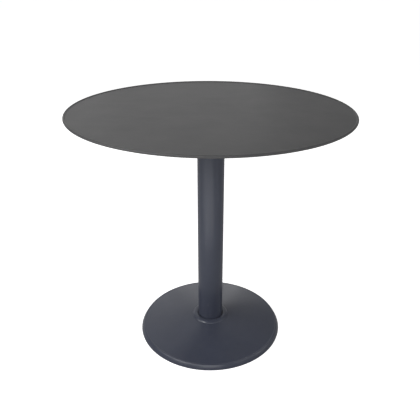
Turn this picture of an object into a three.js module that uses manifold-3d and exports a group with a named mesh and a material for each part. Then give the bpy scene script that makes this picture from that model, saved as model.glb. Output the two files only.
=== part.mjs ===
// Round bistro table: sheet-steel top on a tie-rod column with a weighted conical base.
// Units are millimetres, +Z is up, and the origin is on the floor under the middle of the base.
import * as THREE from "three";
import { mergeVertices } from "three/addons/utils/BufferGeometryUtils.js";
import Module from "manifold-3d";

const wasm = await Module();
wasm.setup();

// ---------- driving dimensions ----------
const TABLE_HEIGHT = 740; // floor to the crest of the rim
const TOP_RADIUS = 400;
const COLUMN_RADIUS = 40;
const BASE_RADIUS = 231.8;

const GAP = 0.3; // clearance between pieces that touch or are welded
const ROUND_SEGMENTS = 64; // facets round a large turned piece
const COLUMN_SEGMENTS = 48; // facets round the column and what fits it
const SMALL_SEGMENTS = 24; // facets round a small turned piece

// top
const RIM_BAR_RADIUS = 3.5;
const SHEET_THICKNESS = 1.8;
const SHEET_BELOW_CREST = 2; // how far the sheet's upper face lies under the rim's crest
const BACKING_RADIUS = 205;
const BACKING_THICKNESS = 2.5;
const RIB_INNER_RADIUS = 214;
const RIB_LENGTH = 136;
const RIB_FLANGE_HALF = 25;
const RIB_SHOULDER_HALF = 14;
const RIB_FLOOR_HALF = 10;
const RIB_DEPTH = 14;
const RIB_SHEET = 1.5;

// spider under the top
const SPIDER_ARMS = 4;
const SPIDER_HUB_RADIUS = 46;
const SPIDER_HUB_HEIGHT = 24.4;
const SPIDER_SPIGOT_LENGTH = 20;
const SPIDER_ARM_REACH = 188;
const SPIDER_ARM_ROOT_WIDTH = 40;
const SPIDER_ARM_TIP_WIDTH = 30;
const SPIDER_WEB_THICKNESS = 9;
const SPIDER_TIP_THICKNESS = 8;
const STUD_CIRCLE_RADIUS = 170;
const STUD_RADIUS = 3.9;
const STUD_LENGTH = 21.5;
const STUD_WASHER_RADIUS = 8;
const STUD_WASHER_THICKNESS = 1.6;
const STUD_NUT_ACROSS_FLATS = 13;
const STUD_NUT_HEIGHT = 6.5;

// column and tie rod
const TUBE_WALL = 2.5;
const SPIGOT_CLEARANCE = 0.5;
const TIE_ROD_RADIUS = 5.9;
const TIE_ROD_HOLE_RADIUS = 6.8;
const TIE_NUT_ACROSS_FLATS = 18;
const TIE_NUT_HEIGHT = 10;
const TIE_WASHER_RADIUS = 12;
const TIE_WASHER_THICKNESS = 2.5;
const TIE_RECESS_RADIUS = 17;
const TIE_ROD_PAST_NUT = 1.4;

// base cover
const COVER_SHEET = 1.5;
const COVER_FLOOR_GAP = 1.2;
const CONE_FOOT_RADIUS = 218.8; // where the cone ends at the rim's groove
const CONE_FOOT_HEIGHT = 15.2;
const CONE_SLOPE = 0.145; // rise per millimetre towards the column
const COVER_HOLE_RADIUS = 44.2;

// base weight and the plug that centres the column on it
const WEIGHT_BELOW_COVER = 0.5;
const WEIGHT_BOSS_RADIUS = 55; // raised middle that carries the cover and the column
const WEIGHT_BOSS_FILLET = 6;
const WEIGHT_PLATE_TOP = 17; // height of the plate's upper face at the boss
const COLUMN_SEAT_HEIGHT = 34;
const COLUMN_SEAT_RADIUS = 41.2;
const FOOT_PLUG_LENGTH = 22;
const WEIGHT_TIE_RECESS_TOP = 22;
const POCKETS = 12;
const POCKET_INNER_RADIUS = 80;
const POCKET_OUTER_RADIUS = 150;
const POCKET_HALF_ANGLE = 12.5; // degrees, so that a rib of 5 degrees is left between pockets
const POCKET_DEPTH = 4.5;

// collar and gasket
const COLLAR_OUTER_RADIUS = 59;
const COLLAR_INNER_RADIUS = 41.6;
const COLLAR_CREST_HEIGHT = 44.4;
const COLLAR_SHOULDER_RADIUS = 52.6; // where the sloping outer face turns into the flat crest
const GASKET_TOP = 42.8;

// levelling feet
const FEET = 4;
const FOOT_CIRCLE_RADIUS = 185;
const PAD_RADIUS = 15;
const PAD_HEIGHT = 5;
const PAD_SOCKET_RADIUS = 5.3;
const PAD_SOCKET_FLOOR = 2;
const STEM_DISC_RADIUS = 5;
const STEM_HEX_ACROSS_FLATS = 13;
const STEM_HEX_HEIGHT = 3.2;
const STEM_RADIUS = 3.9;
const STEM_TOP = 17.4;
const STEM_HOLE_RADIUS = 4.3;
const STEM_RECESS_RADIUS = 9.5;
const STEM_BOSS_RADIUS = 13;

// ---------- heights worked out from the driving dimensions ----------
const rimBarHeight = TABLE_HEIGHT - RIM_BAR_RADIUS;
const sheetTop = TABLE_HEIGHT - SHEET_BELOW_CREST;
const sheetUnderside = sheetTop - SHEET_THICKNESS;
const backingUnderside = sheetUnderside - GAP - BACKING_THICKNESS;
const spiderTop = backingUnderside - GAP;
const spiderSeat = spiderTop - SPIDER_HUB_HEIGHT;
const armTipUnderside = spiderTop - SPIDER_TIP_THICKNESS;
const tubeTop = spiderSeat - GAP;
const tubeFoot = COLUMN_SEAT_HEIGHT + GAP;
const tubeInnerRadius = COLUMN_RADIUS - TUBE_WALL;
const spigotRadius = tubeInnerRadius - SPIGOT_CLEARANCE;
const weightUnderside = PAD_HEIGHT + GAP;
const spiderRecessFloor = spiderTop - TIE_NUT_HEIGHT - TIE_WASHER_THICKNESS - 2.2;
const topNutFoot = spiderRecessFloor + TIE_WASHER_THICKNESS + 2 * GAP;
const bottomNutTop = WEIGHT_TIE_RECESS_TOP - TIE_WASHER_THICKNESS - 2 * GAP;
const tieRodTop = topNutFoot + TIE_NUT_HEIGHT + TIE_ROD_PAST_NUT - GAP;
const tieRodFoot = bottomNutTop - TIE_NUT_HEIGHT - TIE_ROD_PAST_NUT;

// ---------- finishes ----------
function finish(color, roughness, metalness) {
  return new THREE.MeshStandardMaterial({ color, roughness, metalness });
}
const topPaint = finish(0x5e5e60, 0.5, 0.1);
const framePaint = finish(0x4a4e57, 0.4, 0.1);
const castIron = finish(0x2f3032, 0.75, 0.5);
const zincSteel = finish(0xb4b6b8, 0.35, 0.9);
const blackRubber = finish(0x161616, 0.85, 0);
const blackPlastic = finish(0x1d1d1f, 0.55, 0);

// ---------- shape helpers ----------
// Height of the cover's outer face on its cone.
function coneHeight(radius) {
  return CONE_FOOT_HEIGHT + (CONE_FOOT_RADIUS - radius) * CONE_SLOPE;
}

// Points of an arc, angles in degrees, from start to end.
function arc(centreX, centreY, radius, start, end, steps) {
  const points = [];
  for (let i = 0; i <= steps; i++) {
    const angle = THREE.MathUtils.degToRad(start + ((end - start) * i) / steps);
    points.push([centreX + radius * Math.cos(angle), centreY + radius * Math.sin(angle)]);
  }
  return points;
}

// Solid of revolution about Z. The profile is [radius, height] pairs, anticlockwise, closed on itself.
function turned(profile, segments = ROUND_SEGMENTS) {
  const points = [...profile, profile[0]].map(([radius, height]) => new THREE.Vector2(radius, height));
  return new THREE.LatheGeometry(points, segments).rotateX(Math.PI / 2);
}

// Plain round disc or rod between two heights.
function rod(radius, low, high, segments = SMALL_SEGMENTS) {
  return new THREE.CylinderGeometry(radius, radius, high - low, segments)
    .rotateX(Math.PI / 2)
    .translate(0, 0, (low + high) / 2);
}

// Flat ring between two heights.
function ring(innerRadius, outerRadius, low, high, segments = SMALL_SEGMENTS) {
  return turned(
    [
      [innerRadius, low],
      [outerRadius, low],
      [outerRadius, high],
      [innerRadius, high],
    ],
    segments,
  );
}

// Hexagonal outline with the given width across flats.
function hexagon(acrossFlats) {
  const corner = acrossFlats / Math.sqrt(3);
  return new THREE.Shape(arc(0, 0, corner, 0, 300, 5).map(([x, y]) => new THREE.Vector2(x, y)));
}

// Outline drawn in XY, pulled up between two heights.
function pulled(shape, low, high) {
  return new THREE.ExtrudeGeometry(shape, {
    depth: high - low,
    bevelEnabled: false,
    curveSegments: SMALL_SEGMENTS / 2,
  }).translate(0, 0, low);
}

// Hexagonal nut with a plain hole.
function nut(acrossFlats, holeRadius, low, high) {
  const shape = hexagon(acrossFlats);
  shape.holes.push(new THREE.Path().absarc(0, 0, holeRadius, 0, 2 * Math.PI));
  return pulled(shape, low, high);
}

// ---------- booleans ----------
function toSolid(geometry) {
  const bare = geometry.clone();
  bare.deleteAttribute("normal");
  bare.deleteAttribute("uv");
  const merged = mergeVertices(bare, 1e-3);
  return new wasm.Manifold(
    new wasm.Mesh({
      numProp: 3,
      vertProperties: new Float32Array(merged.getAttribute("position").array),
      triVerts: new Uint32Array(merged.index.array),
    }),
  );
}

function toGeometry(solid) {
  const mesh = solid.getMesh();
  const geometry = new THREE.BufferGeometry();
  geometry.setAttribute("position", new THREE.BufferAttribute(mesh.vertProperties, 3));
  geometry.setIndex(new THREE.BufferAttribute(mesh.triVerts, 1));
  return geometry;
}

// ---------- scene ----------
const table = new THREE.Group();

function add(name, geometry, material, parent = table) {
  const mesh = new THREE.Mesh(geometry, material);
  mesh.name = name;
  parent.add(mesh);
  return mesh;
}

// Group turned about Z to one of the evenly spaced places round the column.
function placeRound(index, count, firstDegrees) {
  const place = new THREE.Group();
  place.rotation.z = THREE.MathUtils.degToRad(firstDegrees + (360 * index) / count);
  table.add(place);
  return place;
}

// ---------- top ----------
// The sheet lies inside the rim bar, which is a round bar bent to a ring.
const rimBarCentre = TOP_RADIUS - RIM_BAR_RADIUS;
const sheetRadius = rimBarCentre - RIM_BAR_RADIUS - GAP; // the bar is at its widest within the sheet
add("tabletop_sheet", rod(sheetRadius, sheetUnderside, sheetTop, ROUND_SEGMENTS), topPaint);
add(
  "tabletop_rim_ring",
  new THREE.TorusGeometry(rimBarCentre, RIM_BAR_RADIUS, 8, ROUND_SEGMENTS).translate(0, 0, rimBarHeight),
  topPaint,
);
add(
  "tabletop_backing_disc",
  rod(BACKING_RADIUS, backingUnderside, backingUnderside + BACKING_THICKNESS, ROUND_SEGMENTS),
  topPaint,
);

// Hat-section rib: two flanges against the sheet and a folded channel below it.
function ribOutline() {
  const half = [
    [RIB_FLANGE_HALF, 0],
    [RIB_SHOULDER_HALF - RIB_SHEET, 0],
    [RIB_FLOOR_HALF - RIB_SHEET, RIB_SHEET - RIB_DEPTH],
  ];
  const outside = [
    [RIB_FLOOR_HALF, -RIB_DEPTH],
    [RIB_SHOULDER_HALF, -RIB_SHEET],
    [RIB_FLANGE_HALF, -RIB_SHEET],
  ];
  const right = [...outside, ...half];
  const left = [...right].reverse().map(([x, y]) => [-x, y]);
  return new THREE.Shape([...right, ...left].map(([x, y]) => new THREE.Vector2(x, y)));
}

for (let i = 0; i < SPIDER_ARMS; i++) {
  const place = placeRound(i, SPIDER_ARMS, 45);
  const rib = new THREE.ExtrudeGeometry(ribOutline(), { depth: RIB_LENGTH, bevelEnabled: false });
  // The outline's height becomes Z, and its length runs outwards along X.
  rib.rotateX(Math.PI / 2).rotateZ(Math.PI / 2);
  rib.translate(RIB_INNER_RADIUS, 0, sheetUnderside - GAP);
  add(`stiffening_rib_${i + 1}`, rib, topPaint, place);
}

// ---------- spider ----------
// One arm of T section: a tapering flange on top and a web below it that runs out before the stud.
function spiderArm() {
  const webEnd = STUD_CIRCLE_RADIUS - STUD_WASHER_RADIUS - 6;
  const side = new THREE.Shape([
    new THREE.Vector2(0, spiderSeat),
    new THREE.Vector2(SPIDER_HUB_RADIUS - 2, spiderSeat),
    new THREE.Vector2(webEnd, armTipUnderside),
    new THREE.Vector2(webEnd, armTipUnderside + 1),
    new THREE.Vector2(0, armTipUnderside + 1),
  ]);
  const web = new THREE.ExtrudeGeometry(side, { depth: SPIDER_WEB_THICKNESS, bevelEnabled: false })
    .translate(0, 0, -SPIDER_WEB_THICKNESS / 2)
    .rotateX(Math.PI / 2);
  const tipRadius = SPIDER_ARM_TIP_WIDTH / 2;
  const plan = new THREE.Shape();
  plan.moveTo(0, -SPIDER_ARM_ROOT_WIDTH / 2);
  plan.lineTo(SPIDER_ARM_REACH - tipRadius, -tipRadius);
  plan.absarc(SPIDER_ARM_REACH - tipRadius, 0, tipRadius, -Math.PI / 2, Math.PI / 2);
  plan.lineTo(0, SPIDER_ARM_ROOT_WIDTH / 2);
  const flange = pulled(plan, armTipUnderside, spiderTop);
  const studHole = rod(STUD_RADIUS + 0.7, armTipUnderside - 1, spiderTop + 1);
  studHole.translate(STUD_CIRCLE_RADIUS, 0, 0);
  return toSolid(flange).add(toSolid(web)).subtract(toSolid(studHole));
}

function spider() {
  const hub = turned([
    [TIE_ROD_HOLE_RADIUS, spiderSeat - SPIDER_SPIGOT_LENGTH],
    [spigotRadius - 1.5, spiderSeat - SPIDER_SPIGOT_LENGTH],
    [spigotRadius, spiderSeat - SPIDER_SPIGOT_LENGTH + 1.5],
    [spigotRadius, spiderSeat],
    [SPIDER_HUB_RADIUS, spiderSeat],
    [SPIDER_HUB_RADIUS, spiderTop],
    [TIE_RECESS_RADIUS, spiderTop],
    [TIE_RECESS_RADIUS, spiderRecessFloor],
    [TIE_ROD_HOLE_RADIUS, spiderRecessFloor],
  ], COLUMN_SEGMENTS);
  const recess = rod(TIE_RECESS_RADIUS, spiderRecessFloor, spiderTop + 1, COLUMN_SEGMENTS);
  const spigotFoot = spiderSeat - SPIDER_SPIGOT_LENGTH;
  const rodHole = rod(TIE_ROD_HOLE_RADIUS, spigotFoot - 1, spiderTop + 1, COLUMN_SEGMENTS);
  let body = toSolid(hub);
  for (let i = 0; i < SPIDER_ARMS; i++) {
    body = body.add(spiderArm().rotate([0, 0, (360 * i) / SPIDER_ARMS]));
  }
  return toGeometry(body.subtract(toSolid(recess)).subtract(toSolid(rodHole)));
}
add("top_spider", spider(), castIron);

const studTop = backingUnderside - GAP;
const studWasherTop = armTipUnderside - GAP;
const studNutTop = studWasherTop - STUD_WASHER_THICKNESS - GAP;
for (let i = 0; i < SPIDER_ARMS; i++) {
  const place = placeRound(i, SPIDER_ARMS, 0);
  const fixing = new THREE.Group();
  fixing.position.x = STUD_CIRCLE_RADIUS;
  place.add(fixing);
  add(`weld_stud_${i + 1}`, rod(STUD_RADIUS, studTop - STUD_LENGTH, studTop, 16), zincSteel, fixing);
  add(
    `stud_washer_${i + 1}`,
    ring(STUD_RADIUS + 0.4, STUD_WASHER_RADIUS, studWasherTop - STUD_WASHER_THICKNESS, studWasherTop, 20),
    zincSteel,
    fixing,
  );
  add(
    `stud_nut_${i + 1}`,
    nut(STUD_NUT_ACROSS_FLATS, STUD_RADIUS + 0.4, studNutTop - STUD_NUT_HEIGHT, studNutTop),
    zincSteel,
    fixing,
  );
}

// ---------- column and tie rod ----------
add("column_tube", ring(tubeInnerRadius, COLUMN_RADIUS, tubeFoot, tubeTop, COLUMN_SEGMENTS), framePaint);
add("tie_rod", rod(TIE_ROD_RADIUS, tieRodFoot, tieRodTop), zincSteel);

function tieWasher(low) {
  return ring(TIE_ROD_RADIUS + 0.5, TIE_WASHER_RADIUS, low, low + TIE_WASHER_THICKNESS);
}
function tieNut(low) {
  return nut(TIE_NUT_ACROSS_FLATS, TIE_ROD_RADIUS + 0.4, low, low + TIE_NUT_HEIGHT);
}
add("tie_rod_top_washer", tieWasher(spiderRecessFloor + GAP), zincSteel);
add("tie_rod_top_nut", tieNut(topNutFoot), zincSteel);
add("tie_rod_bottom_washer", tieWasher(WEIGHT_TIE_RECESS_TOP - GAP - TIE_WASHER_THICKNESS), zincSteel);
add("tie_rod_bottom_nut", tieNut(bottomNutTop - TIE_NUT_HEIGHT), zincSteel);

// ---------- base weight ----------
// One pocket in the underside: a sector between two radii.
function pocket() {
  const outline = [
    ...arc(0, 0, POCKET_OUTER_RADIUS, -POCKET_HALF_ANGLE, POCKET_HALF_ANGLE, 4),
    ...arc(0, 0, POCKET_INNER_RADIUS, POCKET_HALF_ANGLE, -POCKET_HALF_ANGLE, 2),
  ];
  const shape = new THREE.Shape(outline.map(([x, y]) => new THREE.Vector2(x, y)));
  return toSolid(pulled(shape, weightUnderside - 1, weightUnderside + POCKET_DEPTH));
}

// Edge of the weight, which follows the inside of the cover's rim.
const weightEdge = [
  [227.6, weightUnderside],
  [225.6, 8.8],
  [222.8, 11.7],
  [218.4, 13.1],
];

function baseWeight() {
  const underCover = (radius) => coneHeight(radius) - COVER_SHEET - WEIGHT_BELOW_COVER;
  let body = toSolid(turned([
    [TIE_ROD_HOLE_RADIUS, WEIGHT_TIE_RECESS_TOP],
    [TIE_RECESS_RADIUS, WEIGHT_TIE_RECESS_TOP],
    [TIE_RECESS_RADIUS, weightUnderside],
    ...weightEdge,
    [WEIGHT_BOSS_RADIUS + WEIGHT_BOSS_FILLET, WEIGHT_PLATE_TOP],
    [WEIGHT_BOSS_RADIUS, WEIGHT_PLATE_TOP + WEIGHT_BOSS_FILLET],
    [WEIGHT_BOSS_RADIUS, underCover(WEIGHT_BOSS_RADIUS)],
    [COLUMN_SEAT_RADIUS, underCover(COLUMN_SEAT_RADIUS)],
    [COLUMN_SEAT_RADIUS, COLUMN_SEAT_HEIGHT],
    [TIE_ROD_HOLE_RADIUS, COLUMN_SEAT_HEIGHT],
  ]));
  const onePocket = pocket();
  for (let i = 0; i < POCKETS; i++) {
    body = body.subtract(onePocket.rotate([0, 0, (360 * i) / POCKETS]));
  }
  const bossTop = underCover(FOOT_CIRCLE_RADIUS + STEM_BOSS_RADIUS);
  const boss = toSolid(rod(STEM_BOSS_RADIUS, weightUnderside, bossTop)).translate([FOOT_CIRCLE_RADIUS, 0, 0]);
  const stemHole = toSolid(rod(STEM_HOLE_RADIUS, weightUnderside - 1, bossTop + 1));
  const stemRecessTop = weightUnderside + STEM_HEX_HEIGHT + 0.4;
  const stemRecess = toSolid(rod(STEM_RECESS_RADIUS, weightUnderside - 1, stemRecessTop));
  const footCut = stemHole.add(stemRecess).translate([FOOT_CIRCLE_RADIUS, 0, 0]);
  for (let i = 0; i < FEET; i++) {
    const turn = [0, 0, 45 + (360 * i) / FEET];
    body = body.add(boss.rotate(turn)).subtract(footCut.rotate(turn));
  }
  return toGeometry(body);
}
add("base_weight", baseWeight(), castIron);
add(
  "column_foot_plug",
  turned([
    [TIE_ROD_HOLE_RADIUS, tubeFoot],
    [spigotRadius, tubeFoot],
    [spigotRadius, tubeFoot + FOOT_PLUG_LENGTH - 1.5],
    [spigotRadius - 1.5, tubeFoot + FOOT_PLUG_LENGTH],
    [TIE_ROD_HOLE_RADIUS, tubeFoot + FOOT_PLUG_LENGTH],
  ], COLUMN_SEGMENTS),
  castIron,
);

// ---------- base cover ----------
// Outer face from the hole down the cone, over the rim's groove and crest, to the hem at the floor.
const rimFace = [
  [CONE_FOOT_RADIUS, CONE_FOOT_HEIGHT],
  [219.9, 14.9],
  [221.2, 15.3],
  [224.6, 13.4],
  [228, 9.7],
  [230.6, 5],
  [BASE_RADIUS, COVER_FLOOR_GAP],
];
const rimInside = [
  [BASE_RADIUS - 1.7, COVER_FLOOR_GAP],
  [229, 4.3],
  [226.5, 8.8],
  [223.6, 12],
  [CONE_FOOT_RADIUS, CONE_FOOT_HEIGHT - COVER_SHEET],
];
const coverProfile = [
  [COVER_HOLE_RADIUS, coneHeight(COVER_HOLE_RADIUS)],
  [COVER_HOLE_RADIUS, coneHeight(COVER_HOLE_RADIUS) - COVER_SHEET],
  ...[...rimInside].reverse(),
  ...[...rimFace].reverse(),
];
add("base_cover", turned(coverProfile), framePaint);

// ---------- collar and gasket ----------
const collarLipRadius = COVER_HOLE_RADIUS - 0.4;
const collarEdge = 2.2; // radius of the collar's soft inner edge
const collarFootTop = coneHeight(COLLAR_OUTER_RADIUS) + GAP + 0.8; // top of the upright outer edge
const collarProfile = [
  [COLLAR_INNER_RADIUS, coneHeight(COLLAR_INNER_RADIUS) - COVER_SHEET + GAP],
  [collarLipRadius, coneHeight(COLLAR_INNER_RADIUS) - COVER_SHEET + GAP],
  [collarLipRadius, coneHeight(collarLipRadius) + GAP],
  [COLLAR_OUTER_RADIUS, coneHeight(COLLAR_OUTER_RADIUS) + GAP],
  [COLLAR_OUTER_RADIUS, collarFootTop],
  [COLLAR_OUTER_RADIUS - 0.9, collarFootTop + 1],
  [COLLAR_SHOULDER_RADIUS + 0.9, COLLAR_CREST_HEIGHT - 1],
  [COLLAR_SHOULDER_RADIUS - 0.9, COLLAR_CREST_HEIGHT - 0.25],
  [COLLAR_SHOULDER_RADIUS - 3.4, COLLAR_CREST_HEIGHT],
  ...arc(COLLAR_INNER_RADIUS + collarEdge, COLLAR_CREST_HEIGHT - collarEdge, collarEdge, 85, 180, 4),
];
add("column_collar", turned(collarProfile, COLUMN_SEGMENTS), framePaint);
add(
  "collar_gasket",
  ring(
    COLUMN_RADIUS + GAP,
    COLLAR_INNER_RADIUS - GAP,
    coneHeight(COLUMN_SEAT_RADIUS) - COVER_SHEET - WEIGHT_BELOW_COVER + GAP,
    GASKET_TOP,
    COLUMN_SEGMENTS,
  ),
  blackRubber,
);

// ---------- levelling feet ----------
function footPad() {
  return turned([
    [0, 0],
    [PAD_RADIUS - 1, 0],
    [PAD_RADIUS, 1],
    [PAD_RADIUS, PAD_HEIGHT - 1.5],
    [PAD_RADIUS - 1.5, PAD_HEIGHT],
    [PAD_SOCKET_RADIUS, PAD_HEIGHT],
    [PAD_SOCKET_RADIUS, PAD_SOCKET_FLOOR],
    [0, PAD_SOCKET_FLOOR],
  ], SMALL_SEGMENTS);
}

function footStem() {
  const hexFoot = PAD_HEIGHT + GAP;
  const hexTop = hexFoot + STEM_HEX_HEIGHT;
  const disc = toSolid(rod(STEM_DISC_RADIUS, PAD_SOCKET_FLOOR + GAP, hexFoot + 1, 20));
  const hex = toSolid(pulled(hexagon(STEM_HEX_ACROSS_FLATS), hexFoot, hexTop));
  const stud = toSolid(rod(STEM_RADIUS, hexTop - 1, STEM_TOP, 20));
  return toGeometry(disc.add(hex).add(stud));
}

for (let i = 0; i < FEET; i++) {
  const place = placeRound(i, FEET, 45);
  const foot = new THREE.Group();
  foot.position.x = FOOT_CIRCLE_RADIUS;
  place.add(foot);
  add(`foot_pad_${i + 1}`, footPad(), blackPlastic, foot);
  add(`foot_stem_${i + 1}`, footStem(), zincSteel, foot);
}

export default table;
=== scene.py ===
import math

import bpy
from bpy.props import FloatProperty, FloatVectorProperty, IntProperty, PointerProperty
from mathutils import Matrix, Vector


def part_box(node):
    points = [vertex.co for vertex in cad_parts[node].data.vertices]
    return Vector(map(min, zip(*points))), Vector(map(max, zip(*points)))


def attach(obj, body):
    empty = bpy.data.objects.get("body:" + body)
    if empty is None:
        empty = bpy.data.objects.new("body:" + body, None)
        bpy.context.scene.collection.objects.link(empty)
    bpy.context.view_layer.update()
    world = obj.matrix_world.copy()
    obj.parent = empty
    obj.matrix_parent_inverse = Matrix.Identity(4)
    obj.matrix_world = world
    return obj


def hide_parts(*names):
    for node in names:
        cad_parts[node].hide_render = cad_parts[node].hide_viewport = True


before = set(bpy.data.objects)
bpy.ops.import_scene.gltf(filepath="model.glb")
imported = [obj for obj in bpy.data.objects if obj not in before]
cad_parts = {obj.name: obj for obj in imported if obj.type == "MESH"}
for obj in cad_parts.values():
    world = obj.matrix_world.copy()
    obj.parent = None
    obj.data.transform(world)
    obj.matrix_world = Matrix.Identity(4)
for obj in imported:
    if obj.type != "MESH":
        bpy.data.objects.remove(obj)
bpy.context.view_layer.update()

bl_info = {
    "name": "Bistro Table Workshop",
    "version": (1, 0, 0),
    "blender": (4, 5, 0),
    "location": "View3D > Sidebar > Bistro Table",
    "description": "Builds the finished pieces of a round bistro table around its packed frame",
    "category": "Object",
}

MM = 0.001
WELD = 5e-6  # points closer than this are one point
TABLE_BODY = "table"
ARMS = 4
FEET = 4
COLUMN_SIDES = 160  # round the column, its collar and its seal
BETWEEN_ARMS = math.radians(45)  # the ribs and the feet stand half way between the spider's arms
FIT = 0.3 * MM  # play between pieces that are put together by hand
CONE_FOOT = (218.4 * MM, 15.25 * MM)  # radius and height of the base cover's cone at its lowest
CONE_SLOPE = 0.145

# Panels on stands: name, degrees round from the front to the left, degrees up, distance,
# size, brightness.
STANDING_PANELS = (
    ("window_middle", 60, 33, 3.0, (2.6, 2.0), 1.65),
    ("window_right", 35, 33, 3.0, (1.6, 1.6), 1.5),
    ("window_left", 85, 33, 3.0, (1.6, 1.6), 0.6),
    ("spark", 58, 57, 3.0, (0.5, 0.5), 14.0),
    ("front_fill", 0, 25, 3.0, (1.6, 1.2), 2.1),
    ("right_fill", 300, 30, 3.0, (2.4, 1.8), 0.72),
    ("right_low", 270, 12, 3.0, (2.0, 1.0), 0.98),
    ("back_high", 165, 33, 3.0, (2.4, 2.0), 0.34),
    ("back_left_low", 150, 10, 3.5, (1.8, 1.0), 0.8),
    ("back_middle_low", 178, 8, 3.5, (1.4, 0.6), 1.15),
    ("back_right_low", 200, 10, 3.5, (1.8, 1.0), 0.55),
)
# Panels that lie on the floor and shine up: name, place, size, brightness.
FLOOR_PANELS = (
    ("floor_left", (-0.75, -0.9), 0.9, 0.75),
    ("floor_front", (0, -1.1), 0.9, 0.9),
    ("floor_right", (1.0, -0.8), 0.9, 0.21),
    ("under_base", (0, 0), 0.3, 0.6),
)


# ---------- sizes and colours that a user would change ----------
def length_property(name, description, default):
    return FloatProperty(name=name, description=description, default=default, unit="LENGTH")


def angle_property(name, description, degrees):
    return FloatProperty(
        name=name, description=description, default=math.radians(degrees), subtype="ANGLE"
    )


def colour_property(name, description, *default):
    return FloatVectorProperty(
        name=name, description=description, default=(*default, 1), size=4, min=0, max=1,
        subtype="COLOR",
    )


class TableSizes(bpy.types.PropertyGroup):
    """Sizes that the frame leaves open."""

    large_sides: IntProperty(
        name="Large sides", description="Facets round the top and the base", default=240, min=48
    )
    small_sides: IntProperty(
        name="Small sides", description="Facets round washers, pads and nuts", default=48, min=24
    )
    weld_fillet: length_property(
        "Weld fillet", "Radius of the dressed weld between sheet and rim bar", 1.3 * MM
    )
    hub_radius: length_property("Hub radius", "Radius of the spider's hub", 46 * MM)
    spigot_radius: length_property(
        "Spigot radius", "Radius of the spigots that sit in the column's ends", 37 * MM
    )
    rod_hole_radius: length_property(
        "Rod hole radius", "Radius of the holes that the tie rod passes", 6.8 * MM
    )
    rod_recess_radius: length_property(
        "Rod recess radius", "Radius of the recesses that hold the tie rod's nuts", 17 * MM
    )
    stud_circle: length_property("Stud circle", "Distance of the studs from the axis", 170 * MM)
    foot_circle: length_property("Foot circle", "Distance of the feet from the axis", 185 * MM)


class TableFinishes(bpy.types.PropertyGroup):
    """Colours of the finishes, in linear light."""

    top_colour: colour_property("Top", "Charcoal powder coat of the top", 0.069, 0.069, 0.0705)
    frame_colour: colour_property(
        "Frame", "Anthracite powder coat of column and base", 0.053, 0.060, 0.088
    )
    iron_colour: colour_property("Iron", "Black dip paint on the castings", 0.028, 0.029, 0.031)
    zinc_colour: colour_property("Zinc", "Zinc plate on the fasteners", 0.56, 0.57, 0.58)
    rubber_colour: colour_property("Rubber", "Seal in the collar", 0.036, 0.038, 0.046)
    plastic_colour: colour_property("Plastic", "Moulded foot pads", 0.018, 0.018, 0.019)


class StudioSettings(bpy.types.PropertyGroup):
    """Camera and lights."""

    camera_distance: length_property("Camera distance", "Level distance from the column", 1.3557)
    camera_height: length_property("Camera height", "Height above the floor", 1.0731)
    camera_pitch: angle_property("Pitch", "Downward tilt", 25.511)
    camera_yaw: angle_property("Yaw", "Turn to the right", 0.509)
    camera_roll: angle_property("Roll", "Lean of the camera", 0.448)
    camera_lens: FloatProperty(
        name="Lens", description="Focal length on a 36 mm sensor, in millimetres", default=42.021
    )
    camera_shift: FloatProperty(
        name="Shift", description="Sideways shift of the frame, as a share of its width",
        default=-0.0110,
    )
    room_light: FloatProperty(
        name="Room light", description="Strength of the even light from all round", default=0.19
    )
    light_level: FloatProperty(
        name="Light level", description="Dims or raises all the light panels together", default=1
    )


def sizes():
    return bpy.context.scene.bistro_sizes


def finishes():
    return bpy.context.scene.bistro_finishes


def studio():
    return bpy.context.scene.bistro_studio


# ---------- bench tools ----------
def deselect():
    """Nothing is selected or active, so that the next tool works on its own piece only."""
    if bpy.context.object and bpy.context.object.mode != "OBJECT":
        bpy.ops.object.mode_set(mode="OBJECT")
    bpy.ops.object.select_all(action="DESELECT")


def pick(piece):
    deselect()
    piece.select_set(True)
    bpy.context.view_layer.objects.active = piece


def into_place(piece):
    """Puts the object's place, turn and scale into its mesh."""
    pick(piece)
    bpy.ops.object.transform_apply(location=True, rotation=True, scale=True)


def rename(piece, name):
    piece.name = name
    piece.data.name = name


def just_added(name):
    """Names the primitive that was just added, and puts its place into its mesh."""
    piece = bpy.context.object
    rename(piece, name)
    into_place(piece)
    return piece


def edit(piece, elements="FACE"):
    pick(piece)
    bpy.ops.object.mode_set(mode="EDIT")
    bpy.ops.mesh.select_mode(type=elements)
    bpy.ops.mesh.select_all(action="DESELECT")


def choose(piece, elements, test):
    """Selects the vertices, edges or faces whose middle passes the test. Edit mode stays on."""
    edit(piece, {"vertices": "VERT", "edges": "EDGE", "polygons": "FACE"}[elements])
    bpy.ops.object.mode_set(mode="OBJECT")
    mesh = piece.data
    for item in getattr(mesh, elements):
        if elements == "vertices":
            middle = item.co
        elif elements == "edges":
            middle = (mesh.vertices[item.vertices[0]].co + mesh.vertices[item.vertices[1]].co) / 2
        else:
            middle = item.center
        item.select = bool(test(middle, item))
    bpy.ops.object.mode_set(mode="EDIT")


def done():
    bpy.ops.object.mode_set(mode="OBJECT")


def face_outwards(piece):
    edit(piece)
    bpy.ops.mesh.select_all(action="SELECT")
    bpy.ops.mesh.normals_make_consistent(inside=False)
    done()


def press(piece, kind, **settings):
    """Adds a modifier with the given settings and applies it."""
    pick(piece)
    modifier = piece.modifiers.new(kind.title(), kind)
    for key, value in settings.items():
        setattr(modifier, key, value)
    bpy.ops.object.modifier_apply(modifier=modifier.name)


def soften(piece, width, segments=2, angle=35):
    """Rounds every edge sharper than the angle."""
    press(
        piece, "BEVEL", width=width, segments=segments, limit_method="ANGLE",
        angle_limit=math.radians(angle),
    )


def shade(piece, angle=32):
    pick(piece)
    bpy.ops.object.shade_smooth_by_angle(angle=math.radians(angle))


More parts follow.
